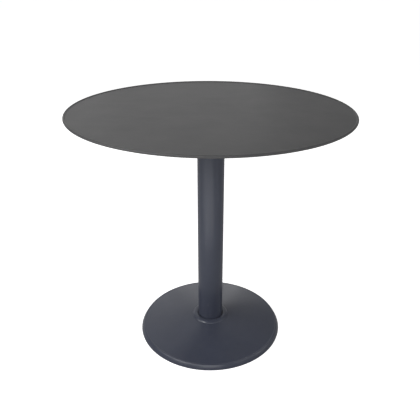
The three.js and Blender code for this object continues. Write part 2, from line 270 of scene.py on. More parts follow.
def join(pieces, name):
    """Makes one piece of several that are welded or moulded together."""
    pick(pieces[0])
    for piece in pieces:
        piece.select_set(True)
    bpy.ops.object.join()
    rename(pieces[0], name)
    return pieces[0]


def cut(piece, tool, operation):
    """Joins, cuts or keeps what is common with the tool, which is used up."""
    press(piece, "BOOLEAN", object=tool, operation=operation, solver="EXACT")
    bpy.data.objects.remove(tool)


def twin(piece, name, angle):
    """Copy with its own mesh, turned about the column."""
    copy = piece.copy()
    copy.data = piece.data.copy()
    rename(copy, name)
    bpy.context.scene.collection.objects.link(copy)
    copy.matrix_world = Matrix.Rotation(angle, 4, "Z") @ copy.matrix_world
    into_place(copy)
    return copy


def arc(centre, radius, start, end, steps):
    """Points of an arc in the radius and height plane, angles in degrees."""
    points = []
    for i in range(steps + 1):
        angle = math.radians(start + (end - start) * i / steps)
        points.append((centre[0] + radius * math.cos(angle), centre[1] + radius * math.sin(angle)))
    return points


def cone_height(radius):
    """Height of the base cover's outer face at a radius."""
    return CONE_FOOT[1] + (CONE_FOOT[0] - radius) * CONE_SLOPE


def with_guards(points):
    """Adds a point near each end of a long step, so that edge wear, and the painted edge highlight
    on the powder coat, stay at that edge.
    """
    guard = 2.5 * MM
    result = [points[0]]
    for start, end in zip(points, points[1:]):
        step = Vector(end) - Vector(start)
        if step.length > 3 * guard:
            result.append(tuple(Vector(start) + step * (guard / step.length)))
            result.append(tuple(Vector(end) - step * (guard / step.length)))
        result.append(end)
    return result


def turn(name, profile, sides, closed=True):
    """Turned piece: a circle at the profile's first point is extruded from each point to the next.

    The profile holds (radius, height) pairs. A closed one comes back to its start, and an open one
    has a flat face at each end.
    """
    deselect()
    points = with_guards(list(profile) + ([profile[0]] if closed else []))
    radius, height = points[0]
    bpy.ops.mesh.primitive_circle_add(
        vertices=sides, radius=radius, location=(0, 0, height),
        fill_type="NOTHING" if closed else "NGON",
    )
    piece = just_added(name)
    edit(piece, "EDGE")
    bpy.ops.mesh.select_all(action="SELECT")
    for (radius, height), (next_radius, next_height) in zip(points, points[1:]):
        bpy.ops.mesh.extrude_edges_move(
            TRANSFORM_OT_translate={"value": (0, 0, next_height - height)}
        )
        growth = next_radius / radius
        if growth != 1:
            bpy.ops.transform.resize(value=(growth, growth, 1), center_override=(0, 0, 0))
    if not closed:
        bpy.ops.mesh.edge_face_add()
    bpy.ops.mesh.select_all(action="SELECT")
    bpy.ops.mesh.remove_doubles(threshold=WELD)
    bpy.ops.mesh.normals_make_consistent(inside=False)
    done()
    return piece


def block(name, low, high):
    """Block between two corners."""
    deselect()
    low, high = Vector(low), Vector(high)
    bpy.ops.mesh.primitive_cube_add(size=1, location=(low + high) / 2, scale=high - low)
    return just_added(name)


def threaded_bar(name, radius, pitch, low, high, sides=24):
    """Bar with a wound thread: one ridge is wound up the bar, and the ends are cut off flat."""
    depth = 0.6 * pitch
    deselect()
    bpy.ops.mesh.primitive_plane_add(
        size=pitch, location=(radius - depth, 0, low - pitch), rotation=(0, math.pi / 2, 0)
    )
    piece = just_added(name)
    choose(piece, "vertices", lambda place, _: place.y < 0)
    bpy.ops.mesh.delete(type="VERT")
    bpy.ops.mesh.select_all(action="SELECT")
    bpy.ops.transform.translate(value=(0, -pitch / 2, 0))
    bpy.ops.mesh.subdivide(number_cuts=1)
    choose(piece, "vertices", lambda place, _: abs(place.z - (low - pitch)) < pitch / 4)
    bpy.ops.transform.translate(value=(depth, 0, 0))
    done()
    press(
        piece, "SCREW", axis="Z", angle=2 * math.pi, screw_offset=pitch,
        steps=sides, render_steps=sides, iterations=math.ceil((high - low) / pitch) + 3,
        use_merge_vertices=True, merge_threshold=WELD,
    )
    for height, outwards in ((low, -1), (high, 1)):
        edit(piece)
        bpy.ops.mesh.select_all(action="SELECT")
        bpy.ops.mesh.remove_doubles(threshold=WELD)
        bpy.ops.mesh.bisect(
            plane_co=(0, 0, height), plane_no=(0, 0, outwards), use_fill=True, clear_outer=True
        )
        done()
    face_outwards(piece)
    return piece


def hex_prism(name, across_flats, low, high):
    """Hexagon bar whose corners are turned off at both ends, as on a nut."""
    corner = across_flats / math.sqrt(3)
    deselect()
    bpy.ops.mesh.primitive_cylinder_add(
        vertices=6, radius=corner, depth=high - low, location=(0, 0, (low + high) / 2)
    )
    piece = just_added(name)
    chamfer_start = across_flats / 2 * 0.96
    outside = corner * 1.1
    slope = (outside - chamfer_start) * math.tan(math.radians(30))
    profile = [
        (chamfer_start, low), (outside, low + slope), (outside, high - slope), (chamfer_start, high)
    ]
    lathe = turn("lathe", profile, 64, closed=False)
    cut(piece, lathe, "INTERSECT")
    return piece


def nut(name, across_flats, hole, low, high):
    piece = hex_prism(name, across_flats, low, high)
    mouth = 0.5 * MM
    drill = turn(
        "drill",
        [
            (hole + 2 * mouth, low - mouth), (hole, low + mouth),
            (hole, high - mouth), (hole + 2 * mouth, high + mouth),
        ],
        32, closed=False,
    )
    cut(piece, drill, "DIFFERENCE")
    soften(piece, 0.15 * MM, segments=1)
    shade(piece)
    return piece


def washer(name, hole, outside, low, high):
    profile = [(hole, low), (outside, low), (outside, high), (hole, high)]
    piece = turn(name, profile, sizes().small_sides)
    soften(piece, 0.3 * MM, segments=2)
    shade(piece)
    return piece


def move_to(piece, x, y):
    piece.location = (x, y, 0)
    into_place(piece)


def cut_at(piece, profile, sides, distance, angle, operation="DIFFERENCE"):
    """Cuts or joins with a turned tool that stands at a distance and an angle from the column."""
    tool = turn("tool", profile, sides, closed=False)
    move_to(tool, distance, 0)
    placed = twin(tool, "placed_tool", angle)
    bpy.data.objects.remove(tool)
    cut(piece, placed, operation)


def hand_over(piece, nodes, slot, body=TABLE_BODY):
    """Gives a finished piece the finish of its slot, and its place in the frame."""
    piece.data.materials.clear()
    piece.data.materials.append(finish_for(slot))
    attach(piece, body)
    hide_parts(*nodes)


def hand_over_round(pattern, name, node, slot, count, first_angle=0, own_bodies=False):
    """Hands over copies of a pattern, evenly round the column from an angle, and uses it up."""
    for i in range(count):
        copy = twin(pattern, f"{name}_{i + 1}", first_angle + 2 * math.pi * i / count)
        shade(copy)
        node_name = f"{node}_{i + 1}"
        hand_over(copy, [node_name], slot, body=node_name if own_bodies else TABLE_BODY)
    bpy.data.objects.remove(pattern)


# ---------- finishes ----------
def add_node(tree, kind, sockets=None, **settings):
    """Adds a node, sets its settings, and sets or links its sockets."""
    node = tree.nodes.new(kind)
    for key, value in settings.items():
        setattr(node, key, value)
    for key, value in (sockets or {}).items():
        if isinstance(value, bpy.types.NodeSocket):
            tree.links.new(value, node.inputs[key])
        else:
            node.inputs[key].default_value = value
    return node


def new_group(name, inputs, outputs):
    """Node group with named float inputs, each with its default, and named float outputs."""
    group = bpy.data.node_groups.new(name, "ShaderNodeTree")
    for socket, default in inputs.items():
        made = group.interface.new_socket(socket, in_out="INPUT", socket_type="NodeSocketFloat")
        made.default_value = default
    for socket in outputs:
        group.interface.new_socket(socket, in_out="OUTPUT", socket_type="NodeSocketFloat")
    return group, add_node(group, "NodeGroupInput"), add_node(group, "NodeGroupOutput")


def noise(tree, vector, scale, detail=2, roughness=0.5):
    return add_node(
        tree, "ShaderNodeTexNoise",
        {"Vector": vector, "Scale": scale, "Detail": detail, "Roughness": roughness},
    ).outputs["Fac"]


def spread(tree, value, low, high, to_low=0, to_high=1):
    """Stretches a value from one range to another, and stops at its ends."""
    return add_node(
        tree, "ShaderNodeMapRange",
        {"Value": value, "From Min": low, "From Max": high, "To Min": to_low, "To Max": to_high},
    ).outputs["Result"]


def calculated(tree, operation, first, second):
    return add_node(tree, "ShaderNodeMath", {0: first, 1: second}, operation=operation).outputs[0]


def times(tree, first, second):
    return calculated(tree, "MULTIPLY", first, second)


def mixed(tree, share, first, second):
    node = add_node(tree, "ShaderNodeMix", {"Factor": share}, data_type="RGBA")
    for socket, value in ((node.inputs[6], first), (node.inputs[7], second)):
        if isinstance(value, bpy.types.NodeSocket):
            tree.links.new(value, socket)
        else:
            socket.default_value = value
    return node.outputs[2]


def coat_grain_group():
    """Pebbled skin of a powder coat: fine height, and a soft drift in tone."""
    group, given, result = new_group("Coat grain", {"Grain": 900, "Drift": 9}, ["Height", "Tone"])
    place = add_node(group, "ShaderNodeTexCoord").outputs["Object"]
    grain = noise(group, place, given.outputs["Grain"], detail=3, roughness=0.6)
    drift = noise(group, place, given.outputs["Drift"], detail=4, roughness=0.55)
    group.links.new(grain, result.inputs["Height"])
    group.links.new(spread(group, drift, 0.3, 0.7), result.inputs["Tone"])
    return group


def edge_wear_group():
    """Rubbed edges: where the surface turns sharply outwards, broken up by noise. On the powder
    coat this mask also paints a highlight along the crests.
    """
    group, given, result = new_group("Edge wear", {"Start": 0.53, "Breakup": 160}, ["Mask"])
    place = add_node(group, "ShaderNodeTexCoord").outputs["Object"]
    sharp = add_node(group, "ShaderNodeNewGeometry").outputs["Pointiness"]
    end = calculated(group, "ADD", given.outputs["Start"], 0.06)
    edge = spread(group, sharp, given.outputs["Start"], end)
    broken = spread(group, noise(group, place, given.outputs["Breakup"], detail=5), 0.42, 0.6)
    group.links.new(times(group, edge, broken), result.inputs["Mask"])
    return group


def settled_dust_group():
    """Thin dust that lies on faces that look up."""
    group, given, result = new_group("Settled dust", {"Amount": 0.3, "Patch": 14}, ["Mask"])
    place = add_node(group, "ShaderNodeTexCoord").outputs["Object"]
    normal = add_node(group, "ShaderNodeNewGeometry").outputs["Normal"]
    up = add_node(group, "ShaderNodeSeparateXYZ", {"Vector": normal}).outputs["Z"]
    patchy = noise(group, place, given.outputs["Patch"], detail=6, roughness=0.65)
    patches = spread(group, patchy, 0.35, 0.75)
    specks = spread(group, noise(group, place, 1400, detail=1), 0.62, 0.72)
    both = calculated(group, "MAXIMUM", patches, specks)
    lying = times(group, spread(group, up, 0.5, 1), both)
    group.links.new(times(group, lying, given.outputs["Amount"]), result.inputs["Mask"])
    return group


def wipe_marks_group():
    """Long faint strokes left by wiping, and a few fine scratches."""
    group, given, result = new_group(
        "Wipe marks", {"Stroke": 5, "Scratch": 26}, ["Strokes", "Scratches"]
    )
    place = add_node(group, "ShaderNodeTexCoord").outputs["Object"]
    along = add_node(
        group, "ShaderNodeMapping", {"Vector": place, "Rotation": (0, 0, 0.5), "Scale": (1, 5, 1)}
    ).outputs["Vector"]
    strokes = noise(group, along, given.outputs["Stroke"], detail=5, roughness=0.6)
    across = add_node(
        group, "ShaderNodeMapping", {"Vector": place, "Rotation": (0, 0, -0.7), "Scale": (1, 40, 1)}
    ).outputs["Vector"]
    scratches = noise(group, across, given.outputs["Scratch"], detail=2, roughness=0.4)
    group.links.new(spread(group, strokes, 0.35, 0.7), result.inputs["Strokes"])
    group.links.new(spread(group, scratches, 0.7, 0.76), result.inputs["Scratches"])
    return group


def shared_group(name):
    """One of the shared effects, built the first time that it is asked for."""
    makers = {
        "Coat grain": coat_grain_group,
        "Edge wear": edge_wear_group,
        "Settled dust": settled_dust_group,
        "Wipe marks": wipe_marks_group,
    }
    return bpy.data.node_groups.get(name) or makers[name]()


def effect(tree, name, **values):
    node = add_node(tree, "ShaderNodeGroup", node_tree=shared_group(name))
    for key, value in values.items():
        node.inputs[key].default_value = value
    return node


def new_material(name):
    """Empty material with its shader joined to the output."""
    material = bpy.data.materials.new(name)
    material.use_nodes = True
    tree = material.node_tree
    tree.nodes.clear()
    shader = add_node(tree, "ShaderNodeBsdfPrincipled")
    add_node(tree, "ShaderNodeOutputMaterial", {"Surface": shader.outputs["BSDF"]})
    return material, tree, shader


def scaled(colour, factor):
    return tuple(channel * factor for channel in colour[:3]) + (1,)


def bump(tree, shader, height, distance, strength=1):
    node = add_node(
        tree, "ShaderNodeBump", {"Height": height, "Distance": distance, "Strength": strength}
    )
    tree.links.new(node.outputs["Normal"], shader.inputs["Normal"])


def powder_coat(name, colour, roughness, grain, drift, dust, marks, coat):
    """Powder-coated steel: pebbled skin, drift in tone, wiping marks, thin dust, and lighter sharp
    edges that are partly rubbed wear and partly a painted highlight.
    """
    dust_colour = (0.33, 0.32, 0.30, 1)
    worn_and_highlight_colour = (0.35, 0.35, 0.36, 1)
    scratch_colour = (0.3, 0.3, 0.31, 1)
    material, tree, shader = new_material(name)
    skin = effect(tree, "Coat grain", Grain=grain, Drift=drift)
    wear = effect(tree, "Edge wear")
    lying = effect(tree, "Settled dust", Amount=dust)
    wiped = effect(tree, "Wipe marks")
    toned = mixed(tree, skin.outputs["Tone"], scaled(colour, 0.95), scaled(colour, 1.05))
    stroked = mixed(tree, times(tree, wiped.outputs["Strokes"], marks), toned, scaled(colour, 1.3))
    dusty = mixed(tree, lying.outputs["Mask"], stroked, dust_colour)
    # Lighter paint on sharp edges and crests: partly rubbed wear, partly a painted highlight along
    # the crests.
    rubbed = mixed(tree, times(tree, wear.outputs["Mask"], 0.2), dusty, worn_and_highlight_colour)
    scratched = mixed(tree, times(tree, wiped.outputs["Scratches"], 0.06), rubbed, scratch_colour)
    tree.links.new(scratched, shader.inputs["Base Color"])
    smooth, dull = roughness - 0.05 * marks, roughness + 0.1 * marks
    sheen_range = spread(tree, wiped.outputs["Strokes"], 0, 1, smooth, dull)
    dulled = calculated(tree, "ADD", sheen_range, times(tree, lying.outputs["Mask"], 0.2))
    tree.links.new(dulled, shader.inputs["Roughness"])
    shader.inputs["Coat Weight"].default_value = coat
    shader.inputs["Coat Roughness"].default_value = 0.16
    bump(tree, shader, skin.outputs["Height"], 0.06 * MM)
    return material


def cast_iron(name, colour):
    """Sand-cast iron under thin black paint."""
    rust_colour = (0.075, 0.035, 0.018, 1)
    bare_iron = (0.16, 0.155, 0.15, 1)
    material, tree, shader = new_material(name)
    coarse = effect(tree, "Coat grain", Grain=420, Drift=30)
    wear = effect(tree, "Edge wear", Start=0.52)
    rust = effect(tree, "Coat grain", Grain=70, Drift=55)
    painted = mixed(tree, coarse.outputs["Tone"], scaled(colour, 0.7), scaled(colour, 1.5))
    spots = spread(tree, rust.outputs["Height"], 0.66, 0.74, 0, 0.5)
    rusty = mixed(tree, spots, painted, rust_colour)
    rubbed = mixed(tree, times(tree, wear.outputs["Mask"], 0.6), rusty, bare_iron)
    tree.links.new(rubbed, shader.inputs["Base Color"])
    dulled = spread(tree, coarse.outputs["Tone"], 0, 1, 0.55, 0.8)
    tree.links.new(dulled, shader.inputs["Roughness"])
    tree.links.new(times(tree, wear.outputs["Mask"], 0.6), shader.inputs["Metallic"])
    bump(tree, shader, coarse.outputs["Height"], 0.5 * MM)
    return material


def zinc_plate(name, colour):
    """Bright zinc plate with a faint blue bloom, brighter where it is rubbed."""
    blue_bloom = (0.50, 0.53, 0.60, 1)
    material, tree, shader = new_material(name)
    bloom = effect(tree, "Coat grain", Grain=1600, Drift=120)
    wear = effect(tree, "Edge wear")
    tinted = mixed(tree, bloom.outputs["Tone"], blue_bloom, scaled(colour, 1.05))
    rubbed = mixed(tree, wear.outputs["Mask"], tinted, scaled(colour, 1.3))
    tree.links.new(rubbed, shader.inputs["Base Color"])
    shader.inputs["Metallic"].default_value = 1
    dulled = spread(tree, bloom.outputs["Tone"], 0, 1, 0.28, 0.42)
    tree.links.new(dulled, shader.inputs["Roughness"])
    bump(tree, shader, bloom.outputs["Height"], 0.02 * MM)
    return material


def moulded(name, colour, roughness, grain, depth):
    """Moulded rubber or plastic with a fine spark texture."""
    dust_colour = (0.25, 0.24, 0.22, 1)
    material, tree, shader = new_material(name)
    skin = effect(tree, "Coat grain", Grain=grain, Drift=40)
    wear = effect(tree, "Edge wear")
    lying = effect(tree, "Settled dust", Amount=0.25)
    toned = mixed(tree, skin.outputs["Tone"], scaled(colour, 0.8), scaled(colour, 1.3))
    dusty = mixed(tree, lying.outputs["Mask"], toned, dust_colour)
    rubbed = mixed(tree, times(tree, wear.outputs["Mask"], 0.4), dusty, scaled(colour, 4))
    tree.links.new(rubbed, shader.inputs["Base Color"])
    dulled = spread(tree, skin.outputs["Tone"], 0, 1, roughness - 0.06, roughness + 0.06)
    tree.links.new(dulled, shader.inputs["Roughness"])
    bump(tree, shader, skin.outputs["Height"], depth)
    return material


def finish_for(slot):
    """The finish of a record slot, built the first time that it is asked for."""
    if slot in bpy.data.materials and bpy.data.materials[slot].get("finished"):
        return bpy.data.materials[slot]
    colours = finishes()
    makers = {
        "top_paint": (
            powder_coat, colours.top_colour,
            dict(roughness=0.46, grain=1100, drift=7, dust=0.08, marks=0.14, coat=0.0),
        ),
        "frame_paint": (
            powder_coat, colours.frame_colour,
            dict(roughness=0.3, grain=800, drift=10, dust=0.04, marks=0.02, coat=0.3),
        ),
        "cast_iron": (cast_iron, colours.iron_colour, {}),
        "zinc_steel": (zinc_plate, colours.zinc_colour, {}),
        "gasket_rubber": (
            moulded, colours.rubber_colour, dict(roughness=0.7, grain=1500, depth=0.03 * MM)
        ),
        "foot_plastic": (
            moulded, colours.plastic_colour, dict(roughness=0.5, grain=1200, depth=0.05 * MM)
        ),
    }
    if slot in bpy.data.materials:
        bpy.data.materials[slot].name = slot + "_plain"
    maker, tint, values = makers[slot]
    material = maker(slot, tint, **values)
    material["finished"] = True
    return material


# ---------- pieces ----------
class BISTRO_OT_tabletop(bpy.types.Operator):
    """Makes the flat sheet and the round bar welded round its edge"""

    bl_idname = "bistro.tabletop"
    bl_label = "Tabletop"

    def execute(self, context):
        sheet_low, sheet_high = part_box("tabletop_sheet")
        bar_low, bar_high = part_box("tabletop_rim_ring")
        bar_radius = (bar_high.z - bar_low.z) / 2
        bar_centre = (bar_high.x - bar_radius, bar_low.z + bar_radius)
        sides = sizes().large_sides
        bar_sides = 24
        last = 360 - 360 / bar_sides
        rim = turn("top_rim_bar", arc(bar_centre, bar_radius, 0, last, bar_sides - 1), sides)
        shade(rim, 60)
        hand_over(rim, ["tabletop_rim_ring"], "top_paint")

        fillet = sizes().weld_fillet
        weld_height = sheet_high.z + fillet
        wall = bar_centre[0] - math.sqrt(bar_radius**2 - (weld_height - bar_centre[1]) ** 2)
        hidden_edge = wall + 1.2 * MM  # inside the bar
        weld_overlap = 0.15 * MM
        guard_ring = sheet_high.x - 12 * MM
        middle = 60 * MM
        profile = [
            (middle, sheet_low.z),
            (hidden_edge, sheet_low.z),
            (hidden_edge, weld_height),
            (wall + weld_overlap, weld_height),
            *arc((wall - fillet, weld_height), fillet, 0, -90, 6)[1:],
            (guard_ring, sheet_high.z),
            (middle, sheet_high.z),
        ]
        sheet = turn("top_sheet", profile, sides, closed=False)
        shade(sheet)
        hand_over(sheet, ["tabletop_sheet"], "top_paint")
        return {"FINISHED"}


class BISTRO_OT_stiffening(bpy.types.Operator):
    """Makes the backing disc with its spot welds, and the folded ribs under the sheet"""

    bl_idname = "bistro.stiffening"
    bl_label = "Stiffening under the top"

    def spot_weld(self, name, x, face):
        """Shallow dish with a raised edge, left by a welding tip."""
        radius = 3.2 * MM
        profile = [
            (radius * 1.25, face + 0.2 * MM), (radius * 1.2, face - 0.1 * MM),
            (radius, face - 0.25 * MM), (radius * 0.8, face - 0.12 * MM),
            (radius * 0.3, face - 0.05 * MM),
        ]
        dish = turn(name, profile, 24, closed=False)
        move_to(dish, x, 0)
        return dish

    def execute(self, context):
        low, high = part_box("tabletop_backing_disc")
        sheet_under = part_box("tabletop_sheet")[0].z
        middle = 30 * MM
        profile = [(middle, low.z), (high.x, low.z), (high.x, sheet_under), (middle, sheet_under)]
        disc = turn("backing_disc", profile, sizes().large_sides, closed=False)
        soften(disc, 0.5 * MM)
        weld_count = 12
        weld_circle = high.x - 14 * MM
        welds = [self.spot_weld("spot_weld", weld_circle, low.z)]
        for i in range(1, weld_count):
            welds.append(twin(welds[0], f"spot_weld_{i}", 2 * math.pi * i / weld_count))
        disc = join([disc, *welds], "backing_disc")
        shade(disc)
        hand_over(disc, ["tabletop_backing_disc"], "top_paint")

        rib = self.rib(high.x, sheet_under)
        hand_over_round(rib, "under_top_rib", "stiffening_rib", "top_paint", ARMS, BETWEEN_ARMS)
        return {"FINISHED"}

    def rib(self, disc_radius, face):
        """Hat section along X: floor, two sloping walls and two flanges, folded from sheet."""
        low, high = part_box("stiffening_rib_1")
        depth = high.z - low.z
        sheet = 1.5 * MM
        start = disc_radius + 9 * MM
        length = 136 * MM
        floor_half = 10 * MM - sheet / 2
        shoulder_half = 14 * MM - sheet / 2
        flange_half = 25 * MM
        middle = (start + length / 2, 0, face - depth + sheet / 2)
        deselect()
        bpy.ops.mesh.primitive_plane_add(size=1, location=middle)
        rib = bpy.context.object
        rib.scale = (length, 2 * floor_half, 1)
        into_place(rib)
        for side in (-1, 1):
            choose(rib, "edges", lambda place, _: abs(place.y - side * floor_half) < WELD)
            wall = (0, side * (shoulder_half - floor_half), depth - sheet)
            flange = (0, side * (flange_half - shoulder_half), 0)
            for step in (wall, flange):
                bpy.ops.mesh.extrude_edges_move(TRANSFORM_OT_translate={"value": step})
            done()
        folds = (floor_half, shoulder_half)
        along = lambda place: abs(place.x - start - length / 2) < WELD
        folded = lambda place: any(abs(abs(place.y) - fold) < WELD for fold in folds)
        choose(rib, "edges", lambda place, _: along(place) and folded(place))
        bpy.ops.mesh.bevel(offset=1.8 * MM, segments=4)
        done()
        choose(rib, "vertices", lambda place, _: abs(abs(place.y) - flange_half) < WELD)
        bpy.ops.mesh.bevel(offset=5 * MM, segments=5, affect="VERTICES")
        done()
        face_outwards(rib)
        press(rib, "SOLIDIFY", thickness=sheet, offset=0, use_even_offset=True)
        soften(rib, 0.2 * MM, segments=1, angle=60)
        large_face = 500 * MM * MM
        choose(rib, "polygons", lambda _, face: face.area > large_face)
        bpy.ops.mesh.inset(thickness=2.5 * MM, use_individual=True)
        done()
        face_outwards(rib)
        return rib


class BISTRO_OT_spider(bpy.types.Operator):
    """Makes the cast four-armed spider under the top"""

    bl_idname = "bistro.spider"
    bl_label = "Spider"

    def arm(self, seat, top, reach):
        """T section along X: a tapering flange with a round tip, and a web that runs out."""
        tip_thickness = 8 * MM
        root_half = 20 * MM
        tip_half = 15 * MM
        web_half = 4.5 * MM
        web_end = sizes().stud_circle - 14 * MM
        web_start = sizes().hub_radius - 8 * MM
        flange = block("arm", (0, -root_half, top - tip_thickness), (reach, root_half, top))
        choose(flange, "vertices", lambda place, _: place.x > reach / 2)
        bpy.ops.transform.resize(value=(1, tip_half / root_half, 1), center_override=(0, 0, 0))
        at_tip = lambda place: place.x > reach - WELD
        choose(flange, "edges", lambda place, _: at_tip(place) and abs(place.y) > tip_half / 2)
        bpy.ops.mesh.bevel(offset=tip_half * 0.98, segments=10)
        done()
        web = block("web", (0, -web_half, seat), (web_end, web_half, top - tip_thickness / 2))
        below = lambda place: place.z < (seat + top) / 2
        choose(web, "vertices", lambda place, _: place.x > web_end / 2 and below(place))
        bpy.ops.transform.translate(value=(0, 0, top - tip_thickness - seat))
        done()
        choose(web, "vertices", lambda place, _: place.x < web_end / 2 and below(place))
        bpy.ops.transform.translate(value=(web_start, 0, 0))
        done()
        cut(flange, web, "UNION")
        return flange

    def execute(self, context):
        low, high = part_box("top_spider")
        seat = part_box("column_tube")[1].z + FIT
        hole = sizes().rod_hole_radius
        recess = sizes().rod_recess_radius
        spigot = sizes().spigot_radius
        hub = sizes().hub_radius
        recess_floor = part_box("tie_rod_top_washer")[0].z - FIT
        lead_in = 2 * MM
        hub_sides = 96
        profile = [
            (hole, low.z), (spigot - lead_in, low.z), (spigot, low.z + lead_in), (spigot, seat),
            (hub, seat), (hub, high.z), (recess, high.z), (recess, recess_floor),
            (hole, recess_floor),
        ]
        spider = turn("cast_spider", profile, hub_sides)
        arm = self.arm(seat, high.z, high.x)
        for i in range(1, ARMS):
            cut(spider, twin(arm, "arm_copy", 2 * math.pi * i / ARMS), "UNION")
        cut(spider, arm, "UNION")
        past = 5 * MM  # how far a drill runs past the casting
        profile = [(recess, recess_floor), (recess, high.z + past)]
        bore = turn("bore", profile, hub_sides, closed=False)
        cut(spider, bore, "DIFFERENCE")
        drill = turn("drill", [(hole, low.z - past), (hole, high.z + past)], 48, closed=False)
        cut(spider, drill, "DIFFERENCE")
        press(spider, "REMESH", mode="VOXEL", voxel_size=1.3 * MM, use_smooth_shade=True)
        press(spider, "SMOOTH", factor=0.5, iterations=6)
        stud_hole = 4.6 * MM
        for i in range(ARMS):
            profile = [(stud_hole, seat), (stud_hole, high.z + past)]
            cut_at(spider, profile, 32, sizes().stud_circle, 2 * math.pi * i / ARMS)
        shade(spider, 50)
        hand_over(spider, ["top_spider"], "cast_iron")
        return {"FINISHED"}


class BISTRO_OT_stud_fixings(bpy.types.Operator):
    """Makes the welded studs that hold the spider, with their washers and nuts"""

    bl_idname = "bistro.stud_fixings"
    bl_label = "Studs, washers and nuts"

    def execute(self, context):
        stud_low, stud_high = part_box("weld_stud_1")
        washer_low, washer_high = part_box("stud_washer_1")
        nut_low, nut_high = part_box("stud_nut_1")
        disc_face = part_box("tabletop_backing_disc")[0].z
        radius = (stud_high.x - stud_low.x) / 2
        stud = threaded_bar("stud", radius, 1.25 * MM, stud_low.z, disc_face - 1 * MM)
        collar_of_weld = [
            (radius + 1.6 * MM, disc_face),
            (radius + 1.2 * MM, disc_face - 0.7 * MM),
            (radius, disc_face - 1.3 * MM),
        ]
        weld = turn("weld", collar_of_weld, 32, closed=False)
        stud = join([stud, weld], "stud")
        washer_radius = (washer_high.x - washer_low.x) / 2
        flat = washer("flat", radius + FIT, washer_radius, washer_low.z, washer_high.z)
        hexagon = nut("hexagon", nut_high.y - nut_low.y, radius, nut_low.z, nut_high.z)
        rows = (
            (stud, "threaded_stud", "weld_stud"),
            (flat, "flat_washer", "stud_washer"),
            (hexagon, "hex_nut", "stud_nut"),
        )
        for piece, name, node in rows:
            move_to(piece, sizes().stud_circle, 0)
            hand_over_round(piece, name, node, "zinc_steel", ARMS)
        return {"FINISHED"}


class BISTRO_OT_column(bpy.types.Operator):
    """Makes the round column and the plug in its foot"""

    bl_idname = "bistro.column"
    bl_label = "Column"

    def execute(self, context):
        low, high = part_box("column_tube")
        wall = 2.5 * MM
        outside = high.x
        inside = outside - wall
        profile = [(inside, low.z), (outside, low.z), (outside, high.z), (inside, high.z)]
        column = turn("column", profile, COLUMN_SIDES)
        soften(column, 0.4 * MM)
        shade(column)
        hand_over(column, ["column_tube"], "frame_paint")

        low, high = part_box("column_foot_plug")
        hole = sizes().rod_hole_radius
        spigot = sizes().spigot_radius
        lead_in = 1.5 * MM
        mouth = 1 * MM
        profile = [
            (hole, low.z), (spigot, low.z), (spigot, high.z - lead_in),
            (spigot - lead_in, high.z), (hole + mouth, high.z), (hole, high.z - mouth),
        ]
        plug = turn("foot_plug", profile, 96)
        soften(plug, 0.3 * MM)
        shade(plug)
        hand_over(plug, ["column_foot_plug"], "cast_iron")
        return {"FINISHED"}


class BISTRO_OT_tie_rod(bpy.types.Operator):
    """Makes the tie rod, threaded at both ends, and its washers and nuts"""

    bl_idname = "bistro.tie_rod"
    bl_label = "Tie rod"

    def execute(self, context):
        low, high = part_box("tie_rod")
        radius = (high.x - low.x) / 2
        pitch = 1.75 * MM
        thread = 60 * MM
        shank = radius - 0.6 * MM
        shank_end = shank - 0.4 * MM
        overlap = 1 * MM
        lower = threaded_bar("rod_end", radius, pitch, low.z, low.z + thread)
        upper = threaded_bar("rod_end_upper", radius, pitch, high.z - thread, high.z)
        profile = [
            (shank_end, low.z + thread - overlap), (shank, low.z + thread + overlap),
            (shank, high.z - thread - overlap), (shank_end, high.z - thread + overlap),
        ]
        middle = turn("rod_shank", profile, 32, closed=False)
        rod = join([middle, lower, upper], "long_tie_rod")
        shade(rod)
        hand_over(rod, ["tie_rod"], "zinc_steel")
        washer_hole = radius + 0.5 * MM
        for end, word in (("top", "upper"), ("bottom", "lower")):
            ring_low, ring_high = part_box(f"tie_rod_{end}_washer")
            flat = washer(f"rod_washer_{word}", washer_hole, ring_high.y, ring_low.z, ring_high.z)
            hand_over(flat, [f"tie_rod_{end}_washer"], "zinc_steel")
            nut_low, nut_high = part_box(f"tie_rod_{end}_nut")
            hexagon = nut(f"rod_nut_{word}", nut_high.y - nut_low.y, radius, nut_low.z, nut_high.z)
            hand_over(hexagon, [f"tie_rod_{end}_nut"], "zinc_steel")
        return {"FINISHED"}


